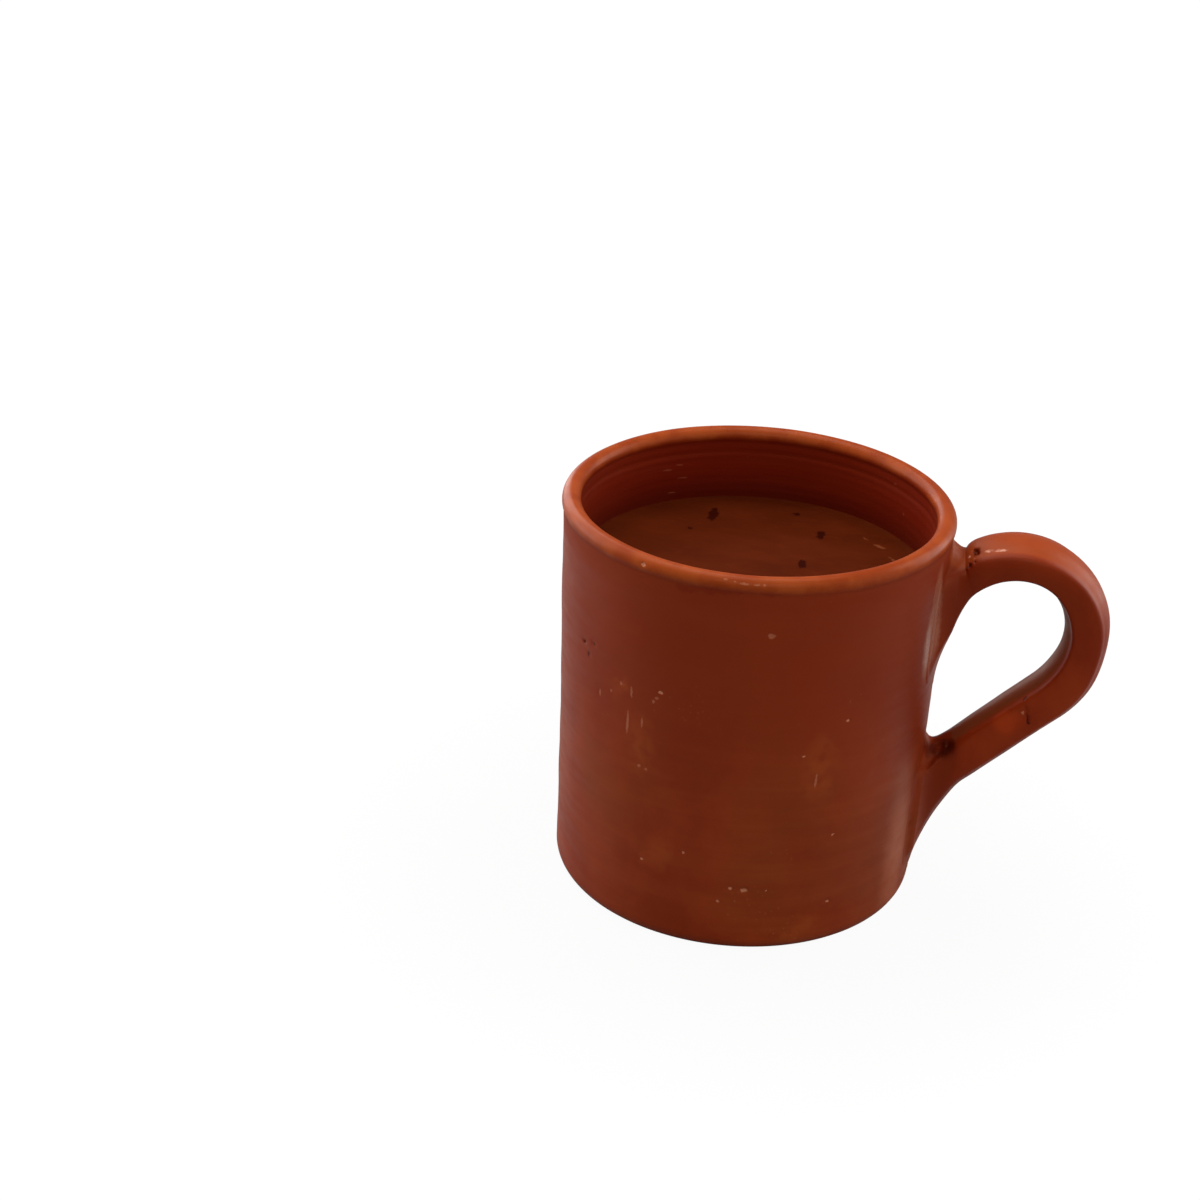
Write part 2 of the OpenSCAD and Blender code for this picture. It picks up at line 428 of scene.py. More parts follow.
def burnished_slip(name, relief):
    """Red slip over terracotta, burnished: clouded red-brown, with faint level lines and a satin gloss.

    The iron in the slip warms what it mirrors, so its gloss is tinted. Its grit is under 0.1 mm and too
    fine to show, so it is drawn at 0.4 mm.
    """
    material, tree, shader = new_material(name, rough=0.42, tint=gloss_warm)
    place = add(tree, "TexCoord", out="Object")
    clouds = patches(tree, place, size_mm=16, levels=(0.35, 0.68), stretch_by=(1, 1, 1.4), detail=4)
    lines = patches(tree, place, size_mm=1.3, levels=(0.35, 0.7), stretch_by=(30, 30, 1), rough=0.65)
    bands = patches(tree, place, size_mm=6, levels=(0.4, 0.72), stretch_by=(5, 5, 1))
    browner = patches(tree, place, size_mm=27, levels=(0.45, 0.65), stretch_by=(1, 1, 1.6))
    grit = grain(tree, place, size_mm=0.4, detail=2)
    colour = paint(tree, slip_dark, slip_red, clouds)
    colour = paint(tree, colour, slip_brown, browner, share=0.5)
    colour = paint(tree, colour, slip_orange, bands, share=0.25)
    colour = paint(tree, colour, slip_dark, lines, share=0.28)
    colour = paint(tree, colour, slip_orange, add(tree, "MapRange", (grit, 0.55, 0.8), **SOFT), share=0.25)
    streaks = grain(tree, place, size_mm=2.2, stretch_by=(5, 5, 1), detail=4)
    rough = add(tree, "MapRange", (streaks, 0.3, 0.7, 0.38, 0.47), **SOFT)
    tree.links.new(rough, shader.inputs["Roughness"])
    both = add(tree, "Math", (lines, grit), operation="ADD")
    height = add(tree, "Math", (both, 0.35), operation="MULTIPLY")
    bump = add(tree, "Bump", {"Height": height, "Strength": relief, "Distance": 0.03 * MM})
    tree.links.new(bump, shader.inputs["Normal"])
    return material, tree, shader, place, colour


def off_axis(tree, place):
    """Distance of a place from the axis that the cup was turned on."""
    level = add(tree, "VectorMath", (place, (1, 1, 0)), operation="MULTIPLY")
    return add(tree, "VectorMath", (level,), "Value", operation="LENGTH")


# Clouds of thinner slip, each an angle from the handle, a height and half sizes along and up the wall in mm.
orange_clouds = [
    (-61.5, 43.7, 7, 11),
    (-117, 44, 5, 10),
    (-108, 20, 10, 6),
    (-64, 5, 11, 4),
    (-125, 57, 4, 5),
]
# The wall beside the handle has a painted highlight low down, and a glossier stripe beside the finger gap
# that has a pale painted highlight too.
highlight_bands = [(-23, 15, 9, 30)]
highlight_stripe = [(-17.2, 73.5, 3, 9), (-17.9, 64, 4.4, 11)]
# Smears of thicker slip under the rim, and pale painted highlights on the front of its crest.
red_smears = [(-97, 83.4, 6, 1.1), (-89, 83.9, 4, 0.9), (-80, 84.1, 3.5, 0.7), (-104, 82.4, 3, 0.8)]
rim_highlights = [
    (-93.2, 86, 0.5, 0.2),
    (-90.6, 85.8, 0.4, 0.2),
    (-88, 85.6, 1.1, 0.25),
    (-84.6, 85.5, 0.7, 0.2),
    (-82.6, 85.6, 0.3, 0.2),
]
# Nicks on the inside of the wall, each a point, half sizes in mm and a turn.
inner_nicks = [
    ((-0.0228, 0.0290, 0.0781), (1.4, 1.5, 0.25), 128),
    ((-0.0204, 0.0308, 0.0789), (1.4, 1.0, 0.22), 123.5),
    ((-0.0196, 0.0312, 0.0757), (1.4, 1.4, 0.25), 122),
    ((-0.0217, 0.0297, 0.0725), (1.4, 1.1, 0.2), 126),
    ((0.0272, 0.0252, 0.0821), (1.4, 0.35, 0.35), 43),
    ((0.0296, 0.0220, 0.0766), (1.4, 0.35, 0.4), 36.6),
]


def shift(tree, shader, name, amount, mask):
    """Changes one value of the shader by an amount where a mask is."""
    socket = shader.inputs[name]
    before = socket.links[0].from_socket if socket.is_linked else socket.default_value
    tree.links.new(add(tree, "Math", (mask, amount, before), operation="MULTIPLY_ADD"), socket)


def glossy_highlight_stripe(tree, shader, place, colour):
    """The stripe on the wall beside the handle: glossier, with a pale painted highlight laid in its colour.
    """
    stripe = blots(tree, torn(tree, place, grain_mm=1.6, shift_mm=0.6), wall_spots(highlight_stripe), edge=0.6)
    shift(tree, shader, "Roughness", -0.2, stripe)
    shift(tree, shader, "Specular IOR Level", 0.5, stripe)
    return paint(tree, colour, highlight_pale, stripe, share=0.5)


def body_clay():
    """The body's slip: wiped rim, bare inside, chips, pits and scratches of use, and painted highlights."""
    material, tree, shader, place, colour = burnished_slip("burnished_terracotta_slip", relief=0.3)
    z = add(tree, "SeparateXYZ", (place,), "Z")
    radius = off_axis(tree, place)
    # The wall is darker towards the top.
    upper = add(tree, "MapRange", (z, 30 * MM, 62 * MM), **SOFT)
    colour = paint(tree, colour, slip_dark, upper, share=0.8)
    spots = wall_spots(orange_clouds)
    colour = mark(tree, place, colour, slip_orange, spots, ragged=(6, 4), share=0.5, edge=0.9)
    # A painted highlight in pale orange, low on the wall beside the handle.
    spots = wall_spots(highlight_bands)
    colour = mark(tree, place, colour, worn_and_highlight_orange, spots, ragged=(3, 0.7), share=0.5, edge=0.95)
    # The glossy stripe beside the finger gap, with its pale painted highlight.
    colour = glossy_highlight_stripe(tree, shader, place, colour)
    colour = mark(tree, place, colour, inside_red, wall_spots(red_smears), ragged=(2.5, 1.2), share=0.55)
    # The rim was wiped, and the clay is bare inside it, both with an uneven edge.
    drift = grain(tree, place, size_mm=7)
    uneven_z = add(tree, "Math", (drift, 1.2 * MM, z), operation="MULTIPLY_ADD")
    rim = add(tree, "MapRange", (uneven_z, rim_level - 0.7 * MM, rim_level + 1.2 * MM), **SOFT)
    wiped = paint(tree, rim_orange, slip_orange, add(tree, "MapRange", (drift, 0.35, 0.65), **SOFT))
    colour = paint(tree, colour, wiped, rim)
    within = add(tree, "MapRange", (radius, mouth + 0.9 * MM, mouth - 0.2 * MM), **SOFT)
    under_rim = add(tree, "MapRange", (uneven_z, rim_level + 1.6 * MM, rim_level - 0.6 * MM), **SOFT)
    inside = add(tree, "Math", (within, under_rim), operation="MULTIPLY")
    rings = {"stretch_by": (40, 40, 1), "detail": 4, "rough": 0.7}
    throwing = patches(tree, place, size_mm=0.8, levels=(0.35, 0.7), **rings)
    bare = paint(tree, inside_red, inside_dark, throwing, share=0.45)
    # The bare inside is darker towards the drink.
    near_drink = add(tree, "MapRange", (uneven_z, drink_level + 9 * MM, drink_level + 1 * MM), **SOFT)
    bare = paint(tree, bare, inside_low_dark, near_drink, share=0.9)
    colour = paint(tree, colour, bare, inside)
    # The rim is the smoothest, and the neck under it the most matt.
    shift(tree, shader, "Roughness", -0.1, rim)
    shift(tree, shader, "Specular IOR Level", -0.08, rim)
    neck_side = add(tree, "MapRange", (z, rim_level - 8 * MM, rim_level - 3 * MM), **SOFT)
    rim_or_within = add(tree, "Math", (rim, within), operation="MAXIMUM")
    outside = add(tree, "Math", (1, rim_or_within), operation="SUBTRACT")
    matt = add(tree, "Math", (neck_side, outside), operation="MULTIPLY")
    shift(tree, shader, "Roughness", 0.25, matt)
    # Marks of use, down to the pale clay, and pale painted highlights on the rim.
    colour = mark(tree, place, colour, worn_and_highlight_orange, inner_nicks, ragged=(0.7, 0.35), share=0.25)
    here = patches(tree, place, size_mm=14, levels=(0.56, 0.66), detail=2)
    specks = patches(tree, place, size_mm=0.8, levels=(0.7, 0.76), detail=1)
    flecks = add(tree, "Math", (here, specks), operation="MULTIPLY")
    flecks = add(tree, "Math", (flecks, 0.4), operation="MULTIPLY")
    ragged = torn(tree, place, grain_mm=0.7, shift_mm=0.35)
    # Scratches, and painted highlights on the front of the rim's crest, in the same pale colour.
    scratched_or_highlit = blots(tree, ragged, wall_spots(rim_highlights + scratches))
    worn_or_highlit = add(tree, "Math", (scratched_or_highlit, flecks), operation="MAXIMUM")
    worn_or_highlit = add(tree, "Math", (worn_or_highlit, 0.28), operation="MULTIPLY")
    chipped = add(tree, "Math", (blots(tree, ragged, wall_spots(chips)), 0.62), operation="MULTIPLY")
    colour = paint(tree, colour, clay_pale_and_highlight, add(tree, "Math", (worn_or_highlit, chipped), operation="MAXIMUM"))
    colour = mark(tree, place, colour, pit_brown_and_shade, wall_spots(grit_pits), ragged=(0.7, 0.35), share=0.8)
    tree.links.new(colour, shader.inputs["Base Color"])
    return material


cup.data.materials.append(body_clay())
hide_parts("cup_body")
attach(cup, "root")

# Strap handle
# Pulled from a tapering roll of wet clay, bent to an arch and a straight lower arm while soft.
# Both ends are joined to the wall with soft clay. All of it is swept in one go here and cut at the seams.
strap_out = 29.6 * MM
crown_drop = 7.4 * MM
arch_radius = 15.4 * MM
bend_radius = 22.4 * MM
arm_slope = 44.3
strap_wide = 14 * MM
strap_thick = 9.6 * MM
upper_off = 4 * MM
lower_off = 7.1 * MM
upper_lean = 20
lower_lean = 16
turn_share = 0.16
# The clay is thumbed in at the seams, and its inside and its edges give way by a share of that.
upper_groove = 1 * MM
lower_groove = 0.12 * MM
groove_long = 2.4 * MM
inner_give = 0.1
edge_give = 0.15
# Thickness and width as shares, at even steps along the strap.
thick_shares = [0.86, 0.68, 0.88, 0.995, 0.99, 1]
wide_shares = [0.95, 1, 0.94, 0.82, 0.72, 0.67]
# The wiped corners take clay off the section, so its faces stand out a little, in mm at even steps.
outer_gains = [0.7, 0.95, 1, 0.75, 0.25, 0.12, 0.45, 0.55, 0.6, 0.62, 0.7]
inner_gains = [0.7, 0.5, 0.4, 0.6, 0.7, 0.5, 0.7, 0.9, 1, 1, 0.9]
side_gain = 0.4 * MM

reach = neck + strap_out
upper_x = neck + upper_off
lower_x = foot_outer + lower_off
arch_x = reach - arch_radius
arch_z = cup_height - crown_drop - arch_radius
bend_x = reach - bend_radius
arch_start = -math.degrees(math.asin((arch_x - upper_x) / arch_radius))
bend_end = 90 - arm_slope
arch_long = arch_radius * math.radians(90 - arch_start)
bend_long = bend_radius * math.radians(bend_end)
arm_x = bend_x + bend_radius * math.cos(math.radians(bend_end))
arm_z = arch_z - bend_radius * math.sin(math.radians(bend_end))
arm_long = (arm_x - lower_x) / math.cos(math.radians(arm_slope))
strap_long = arch_long + bend_long + arm_long


def middle_line(s):
    """Place and heading, in degrees, of the middle of the strap at a distance from its upper seam."""
    if s < arch_long:
        a = arch_start + (90 - arch_start) * s / arch_long
        x = arch_x + arch_radius * math.sin(math.radians(a))
        return x, arch_z + arch_radius * math.cos(math.radians(a)), -a
    if s < arch_long + bend_long:
        a = bend_end * (s - arch_long) / bend_long
        x = bend_x + bend_radius * math.cos(math.radians(a))
        return x, arch_z - bend_radius * math.sin(math.radians(a)), -90 - a
    s -= arch_long + bend_long
    slope = math.radians(arm_slope)
    return arm_x - s * math.cos(slope), arm_z - s * math.sin(slope), arm_slope - 180


def flow(table, share):
    """Smooth curve through evenly spaced values."""
    last = len(table) - 1
    i = min(int(share * last), last - 1)
    f = share * last - i
    b, c = table[i], table[i + 1]
    a = table[i - 1] if i > 0 else 2 * b - c
    d = table[i + 2] if i + 2 <= last else 2 * c - b
    return b + f * (c - a + f * (2 * a - 5 * b + 4 * c - d + f * (3 * b - a - 3 * c + d))) / 2


def draw_in(distance, depth):
    """How far a rounded end of the strap draws in."""
    if distance >= groove_long:
        return 0
    return depth * (1 - math.sqrt(1 - (1 - distance / groove_long) ** 2))


def ease(share):
    """Falls softly from 1 to 0, and stays there."""
    return 0 if share >= 1 else (1 - share) ** 2 * (1 + 2 * share)


def strap_section(s):
    """Outer point, inner point and half width of the strap at a distance from its upper seam."""
    x, z, heading = middle_line(s)
    share = s / strap_long
    turn = (upper_lean + arch_start) * ease(share / turn_share)
    turn += (lower_lean - arm_slope) * ease((strap_long - s) / strap_long / turn_share)
    inset = draw_in(s, upper_groove) + draw_in(strap_long - s, lower_groove)
    half_thick = flow(thick_shares, share) * strap_thick / 2 / math.cos(math.radians(turn))
    half_wide = flow(wide_shares, share) * strap_wide / 2
    a = math.radians(heading + turn)
    outer = half_thick - inset + flow(outer_gains, share) * MM
    inner = half_thick - inset * inner_give + flow(inner_gains, share) * MM
    return (
        (x - math.sin(a) * outer, z + math.cos(a) * outer),
        (x + math.sin(a) * inner, z - math.cos(a) * inner),
        half_wide - inset * edge_give + side_gain,
    )


def root_section(seam, v, outer_rise, inner_rise, widening, straight, power, fillet, hollow):
    """Section of the clay between a seam, where v is 0, and the wall, where v is 1.

    It goes up or down the wall straight by a share and bends by a power for the rest. It has a fillet on
    its inside, and its outside is straight at a hollow of 1 and sinks in above that.
    """
    fillet_power = 5
    widening_power = 2.2
    along = straight * v + (1 - straight) * v**power
    outer_z = seam[0][1] + outer_rise * along
    inner_z = seam[1][1] + inner_rise * along + fillet * v**fillet_power
    foot_x = wall_radius(seam[0][1] + outer_rise)
    outer_x = foot_x + (seam[0][0] - foot_x) * (1 - v) ** hollow
    inner_x = seam[1][0] + (wall_radius(seam[1][1] + inner_rise + fillet) - seam[1][0]) * v
    return (outer_x, outer_z), (inner_x, inner_z), seam[2] + widening * v**widening_power


skirt = 2 * MM
skirt_depth = 0.35 * MM


def hem(section):
    """The thin edge of smeared clay round a root, a little larger and just under the wall's skin."""
    (outer_x, outer_z), (inner_x, inner_z), half_wide = section
    away = math.copysign(skirt, outer_z - inner_z)
    outer_z += away
    inner_z -= away
    return (
        (wall_radius(outer_z) - skirt_depth, outer_z),
        (wall_radius(inner_z) - skirt_depth, inner_z),
        half_wide + skirt,
    )


root_steps = 12
strap_steps = 84
# The sections lie close together in the groove at the upper seam, at these shares of it.
seam_stops = [0, 0.06, 0.2, 0.42, 0.7]
lower_tail = 2.5 * MM
upper_seam = strap_section(0)
lower_seam = strap_section(strap_long)
upper_shape = {
    "outer_rise": 2.3 * MM,
    "inner_rise": -22 * MM,
    "widening": 4 * MM,
    "straight": 0.3,
    "power": 1.9,
    "fillet": 0,
    "hollow": 1,
}
lower_shape = {
    "outer_rise": lower_tail - lower_seam[0][1],
    "inner_rise": -4.6 * MM,
    "widening": 4 * MM,
    "straight": 0.86,
    "power": 3.5,
    "fillet": 3.3 * MM,
    "hollow": 1.38,
}
stops = [share * groove_long for share in seam_stops]
stops += [groove_long + (strap_long - groove_long) * i / strap_steps for i in range(strap_steps + 1)]
sections = [root_section(upper_seam, i / root_steps, **upper_shape) for i in range(root_steps, 0, -1)]
sections += [strap_section(s) for s in stops]
sections += [root_section(lower_seam, i / root_steps, **lower_shape) for i in range(1, root_steps + 1)]
sections.insert(0, hem(sections[0]))
sections.append(hem(sections[-1]))
first_strap = root_steps + 1
last_strap = root_steps + len(stops)

section_sides = 40
bpy.ops.object.select_all(action="DESELECT")
bpy.ops.mesh.primitive_circle_add(vertices=section_sides, radius=1, fill_type="NOTHING")
strap = bpy.context.object
strap.name = "pulled_strap"
edit(strap)
bpy.ops.mesh.select_all(action="SELECT")
bpy.ops.transform.rotate(value=-math.pi / 2, orient_axis="Y", center_override=(0, 0, 0))
leave_edit()
# The strap was wiped rounder on its outside than on the side of the fingers. Both halves share the middle.
middle_width = 0.001
for side, squareness in ((1, 0.5), (-1, 0.78)):
    half = strap.vertex_groups.new(name="half_of_the_section")
    half.add([v.index for v in strap.data.vertices if v.co.z * side > -middle_width], 1, "REPLACE")
    modify(strap, "CAST", cast_type="CUBOID", factor=squareness, use_x=False, vertex_group=half.name)
    strap.vertex_groups.clear()
# The points of the section below this level face the fingers.
finger_side = -0.8
gap_columns = {v.index for v in strap.data.vertices if v.co.z < finger_side}


def placed(section):
    """Middle, lean in radians, half thickness and half width of a section."""
    (outer_x, outer_z), (inner_x, inner_z), half_wide = section
    middle = Vector(((outer_x + inner_x) / 2, 0, (outer_z + inner_z) / 2))
    lean = math.atan2(inner_x - outer_x, outer_z - inner_z)
    return middle, lean, math.hypot(outer_x - inner_x, outer_z - inner_z) / 2, half_wide


def lean_by(angle, middle):
    """Turns the selection about the Y axis. With no window the operator turns the other way."""
    bpy.ops.transform.rotate(value=-angle, orient_axis="Y", center_override=middle)


edit(strap)
bpy.ops.mesh.select_all(action="SELECT")
now, lean, half_thick, half_wide = Vector((0, 0, 0)), 0, 1, 1
for number, section in enumerate(sections):
    middle, new_lean, new_thick, new_wide = placed(section)
    if number:
        bpy.ops.mesh.extrude_region_move()
        lean_by(lean, now)
    bpy.ops.transform.resize(value=(1, new_wide / half_wide, new_thick / half_thick), center_override=now)
    bpy.ops.transform.translate(value=middle - now)
    lean_by(-new_lean, middle)
    now, lean, half_thick, half_wide = middle, new_lean, new_thick, new_wide
bpy.ops.mesh.select_all(action="SELECT")
bpy.ops.mesh.normals_make_consistent(inside=False)
leave_edit()


def ring_points(ring):
    return list(range(ring * section_sides, (ring + 1) * section_sides))


# Each face carries the number of the piece that it is cut off with.
upper_number = 1
lower_number = 2
for face in strap.data.polygons:
    ring = face.index // section_sides
    face.material_index = upper_number if ring < first_strap else lower_number if ring >= last_strap else 0
# The rings next to the wall lie on it, those further off less, and the two hems go just under its skin.
upper_hold = 5
lower_hold = 1
hold_power = 1.5
hold = strap.vertex_groups.new(name="on_the_wall")
for ring in range(len(sections)):
    steps_off = min(ring, len(sections) - 1 - ring) - 1
    weight = 1 - max(0, steps_off) / (upper_hold if ring < first_strap else lower_hold)
    if steps_off >= 0 and weight > 0:
        hold.add(ring_points(ring), weight**hold_power, "REPLACE")
tuck = strap.vertex_groups.new(name="under_the_skin")
for ring in (0, len(sections) - 1):
    tuck.add(ring_points(ring), 1, "REPLACE")
seam_reach = 6
soft = strap.vertex_groups.new(name="smoothed_seams")
for seam, most in ((first_strap, 0.6), (last_strap, 1)):
    for ring in range(seam - seam_reach, seam + seam_reach + 1):
        soft.add(ring_points(ring), most * (1 - abs(ring - seam) / (seam_reach + 1)), "REPLACE")
# Marks the face of the strap towards the finger gap, for the painted shade laid on it.
shaded_gap_side = strap.data.attributes.new("shaded_gap_side", "FLOAT", "POINT")
for vertex in strap.data.vertices:
    free_ring = first_strap + 2 <= vertex.index // section_sides <= last_strap - 1
    shaded_gap_side.data[vertex.index].value = float(free_ring and vertex.index % section_sides in gap_columns)
modify(strap, "SUBSURF", levels=1, render_levels=1)
modify(strap, "SMOOTH", factor=0.5, iterations=24, vertex_group="smoothed_seams")
hand_wobble(strap, "pulled_unevenness", size=12 * MM, depth=0.3 * MM)
for held, proud in (("on_the_wall", 0.08 * MM), ("under_the_skin", -skirt_depth)):
    modify(
        strap,
        "SHRINKWRAP",
        target=cup,
        wrap_method="PROJECT",
        wrap_mode="ABOVE_SURFACE",
        use_project_x=True,
        use_positive_direction=True,
        use_negative_direction=True,
        project_limit=3.5 * MM,
        vertex_group=held,
        offset=proud,
    )
# A ragged tear in the notch on top, a hollow in the lower inner corner, and a crack on the side of the arm.
# Each pit of them is a point, a radius, a depth and the way in, in mm. The crack came as the clay dried.
strap_pits = [
    ((45.2, -3.0, 81.4), 0.8, 1, (0.1, 0.3, -1)),
    ((45.4, -3.9, 81.1), 0.75, 0.9, (0.1, 0.4, -0.9)),
    ((44.7, -2.6, 81.3), 0.5, 0.5, (0, 0.4, -0.9)),
    ((44.6, -4.3, 80.9), 0.6, 0.5, (0, 0.5, -0.8)),
    ((43.9, -5.0, 80.0), 0.7, 0.5, (0, 0.7, -0.7)),
    ((43.4, -5.7, 79.3), 0.8, 0.7, (0.1, 0.8, -0.4)),
    ((44.2, -6.1, 78.8), 0.8, 0.8, (0.1, 0.9, -0.2)),
    ((45.2, -6.0, 79.9), 0.45, 0.3, (0, 0.9, -0.4)),
    ((43.5, -6.3, 77.8), 0.5, 0.3, (0.2, 0.9, 0)),
    ((42.4, -1.2, 80.9), 0.45, 0.3, (0, 0, -1)),
    ((42.2, -4.4, 35.5), 2.4, 1.7, (-0.1, 0.9, -0.4)),
    ((43.9, -4.4, 36.2), 2.0, 1.3, (-0.1, 0.9, -0.4)),
]
crack_from = Vector((59.1, -4.6, 49.4))
crack_to = Vector((60.4, -5.2, 43.9))
crack_steps = 11
for step in range(crack_steps + 1):
    strap_pits.append((crack_from.lerp(crack_to, step / crack_steps), 0.5, 0.3, (0, 1, 0)))
strap_pits = [(Vector(at), wide, deep, Vector(way)) for at, wide, deep, way in strap_pits]
dent(strap, [(at * MM, wide * MM, deep * MM, way) for at, wide, deep, way in strap_pits])


def cut_off(name, number):
    """Cuts the faces that carry a number off the sweep, as a piece of its own."""
    edit(strap)
    bpy.ops.mesh.select_all(action="DESELECT")
    leave_edit()
    for face in strap.data.polygons:
        face.select = face.material_index == number
    bpy.ops.object.mode_set(mode="EDIT")
    bpy.ops.mesh.select_mode(type="FACE")
    bpy.ops.mesh.separate(type="SELECTED")
    leave_edit()
    piece = next(o for o in bpy.context.selected_objects if o != strap)
    piece.name = name
    piece.data.name = name
    return piece


def close_ends(piece):
    """Closes a piece cut off the sweep, and clears what only the sweep needed."""
    edit(piece)
    bpy.ops.mesh.select_mode(type="VERT")
    bpy.ops.mesh.select_all(action="DESELECT")
    bpy.ops.mesh.select_non_manifold()
    bpy.ops.mesh.fill_holes(sides=0)
    bpy.ops.mesh.select_all(action="SELECT")
    bpy.ops.mesh.normals_make_consistent(inside=False)
    leave_edit()
    for face in piece.data.polygons:
        face.material_index = 0
    piece.data.materials.clear()
    piece.vertex_groups.clear()


upper_root = cut_off("smeared_upper_root", upper_number)
lower_root = cut_off("smeared_lower_root", lower_number)
close_ends(strap)

strap_red = "#96330f"
strap_dark = "#802408"
lit_top_orange = "#a54a1d"
root_red_and_side_shade = "#722007"
gap_shade_brown = "#74391f"
wiped_red = "#ae3a10"
tear_red_and_shade = "#5a0f04"
glint_pink = "#e0a28c"
# Spots on the strap, each a point, half sizes in mm and a turn: a redder patch wiped on the arm, dark red in
# the tear, painted shade in the lower inner corner, a pale rub on the crack, and a painted glint and crumbs
# with painted highlights by the tear.
wiped_patch = [((0.0557, -0.0055, 0.0435), (5, 3, 3.5), 0)]
tear_and_corner_shade_spots = [
    ((0.0453, -0.0036, 0.0813), (1.3, 1.8, 1.6), 0),
    ((0.0439, -0.0058, 0.0790), (1.2, 1.5, 1.8), 0),
    ((0.0409, -0.0036, 0.0344), (2, 3.4, 3), 0),
]
corner_shade_spots = [((0.0435, -0.0038, 0.0348), (3.8, 3.2, 3), 0)]
crack_rubs = [((0.0591, -0.0052, 0.0463), (0.45, 0.8, 0.5), 0)]
bright_spots = [
    ((0.0478, -0.0041, 0.0824), (1.2, 0.5, 2), 0),
    ((0.0500, -0.0044, 0.0828), (2.0, 0.5, 2), 0),
    ((0.0440, -0.0036, 0.0802), (0.45, 0.5, 1), 0),
    ((0.0438, -0.0050, 0.0795), (0.4, 0.6, 0.8), 0),
    ((0.0450, -0.0050, 0.0805), (0.5, 0.35, 0.8), 0),
]


def pit_spots(sunk, size):
    """The pits as spots, sunk by a share of their depth and sized by a share of their radius."""
    return [((at + way * sunk * deep) * MM, (size * wide,) * 3, 0) for at, wide, deep, way in strap_pits]


def strap_clay(name):
    """The same slip, with painted shade in brown on the face towards the finger gap, and dark red in the
    pits and the crack, with painted shade deeper in them and in the lower inner corner.

    It is the wall's own slip where it meets the wall, thicker and redder further out, with painted light on
    top of the arch and painted shade on its sides.
    """
    material, tree, shader, place, colour = burnished_slip(name, relief=0.15)
    y = add(tree, "SeparateXYZ", (place,), "Y")
    z = add(tree, "SeparateXYZ", (place,), "Z")
    wall = add(tree, "MapRange", (z, foot_round, rim_level, foot_outer, neck), clamp=False)
    off_wall = add(tree, "Math", (off_axis(tree, place), wall), operation="SUBTRACT")
    near = add(tree, "MapRange", (off_wall, 0.3 * MM, 3 * MM), **SOFT)
    colour = paint(tree, colour, root_red_and_side_shade, near, share=0.85)
    clouds = patches(tree, place, size_mm=16, levels=(0.35, 0.68), stretch_by=(1, 1, 1.4), detail=4)
    far = add(tree, "MapRange", (off_wall, 5 * MM, 9 * MM), **SOFT)
    colour = paint(tree, colour, paint(tree, strap_dark, strap_red, clouds), far, share=0.85)
    # The arch is wiped orange on top, and its sides keep the thicker slip.
    off_middle = add(tree, "Math", (y,), operation="ABSOLUTE")
    beside = add(tree, "MapRange", (off_middle, 4.6 * MM, 6.2 * MM), **SOFT)
    # The top of the arch is painted lighter and more orange, as painted light from above, and its sides are
    # painted darker, as painted shade.
    on_top = add(tree, "Math", (1, beside), operation="SUBTRACT")
    for new, part, low, high, share in (
        (root_red_and_side_shade, beside, 62 * MM, 74 * MM, 0.6),
        (lit_top_orange, on_top, 60 * MM, 83 * MM, 0.45),
    ):
        height = add(tree, "MapRange", (z, low, high), **SOFT)
        colour = paint(tree, colour, new, add(tree, "Math", (height, part), operation="MULTIPLY"), share)
    # The glossy stripe with its pale painted highlight, where the roots cover the wall beside the finger
    # gap.
    colour = glossy_highlight_stripe(tree, shader, place, colour)
    # Painted shade in brown on the face towards the finger gap, which the arch above shades.
    gap_shade = add(tree, "Attribute", out="Fac", attribute_name="shaded_gap_side")
    colour = paint(tree, colour, gap_shade_brown, gap_shade, share=0.8)
    elsewhere = add(tree, "Math", (1, gap_shade), operation="SUBTRACT")
    wiped = blots(tree, torn(tree, place, grain_mm=3, shift_mm=1.5), wiped_patch, edge=0.7)
    wiped = add(tree, "Math", (wiped, elsewhere), operation="MULTIPLY")
    colour = paint(tree, colour, wiped_red, wiped, share=0.6)
    # Dark red in the tear and pits, painted shade deeper in the pits and in the lower inner corner, and a
    # pale rub on the crack.
    for new, spots, ragged, share, edge in (
        (tear_red_and_shade, tear_and_corner_shade_spots, (1, 0.9), 0.75, 0.6),
        (tear_red_and_shade, pit_spots(sunk=0.4, size=1.1), (0.7, 0.5), 0.95, 0.5),
        (pit_brown_and_shade, pit_spots(sunk=0.6, size=0.8), (0.7, 0.5), 0.6, 0.4),
        (clay_pale_and_highlight, crack_rubs, (0.7, 0.5), 0.4, 0.4),
        (pit_brown_and_shade, corner_shade_spots, (2, 0.7), 0.95, 0.75),
    ):
        colour = mark(tree, place, colour, new, spots, ragged, share, edge)
    # A painted glint on the arch, and painted highlights on the crumbs by the tear.
    glint = blots(tree, torn(tree, place, grain_mm=0.6, shift_mm=0.35), bright_spots, edge=0.7)
    broken = add(tree, "MapRange", (grain(tree, place, size_mm=0.8, detail=2), 0.35, 0.6, 0.3, 0.9), **SOFT)
    colour = paint(tree, colour, glint_pink, glint, share=broken)
    tree.links.new(colour, shader.inputs["Base Color"])
    return material


strap.data.materials.append(strap_clay("wiped_terracotta_slip"))
smooth(strap, angle=50)
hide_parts("handle")
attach(strap, "root")

# Upper root
# Soft clay that joins the strap to the wall under the rim, the same terracotta as both.
# It was pressed on with a thumb and smeared down the wall inside the arch. Its seam is the notch on top.
close_ends(upper_root)
luting_slip = strap_clay("finger_smoothed_terracotta_slip")
upper_root.data.materials.append(luting_slip)
smooth(upper_root, angle=50)
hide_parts("upper_luting")
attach(upper_root, "root")

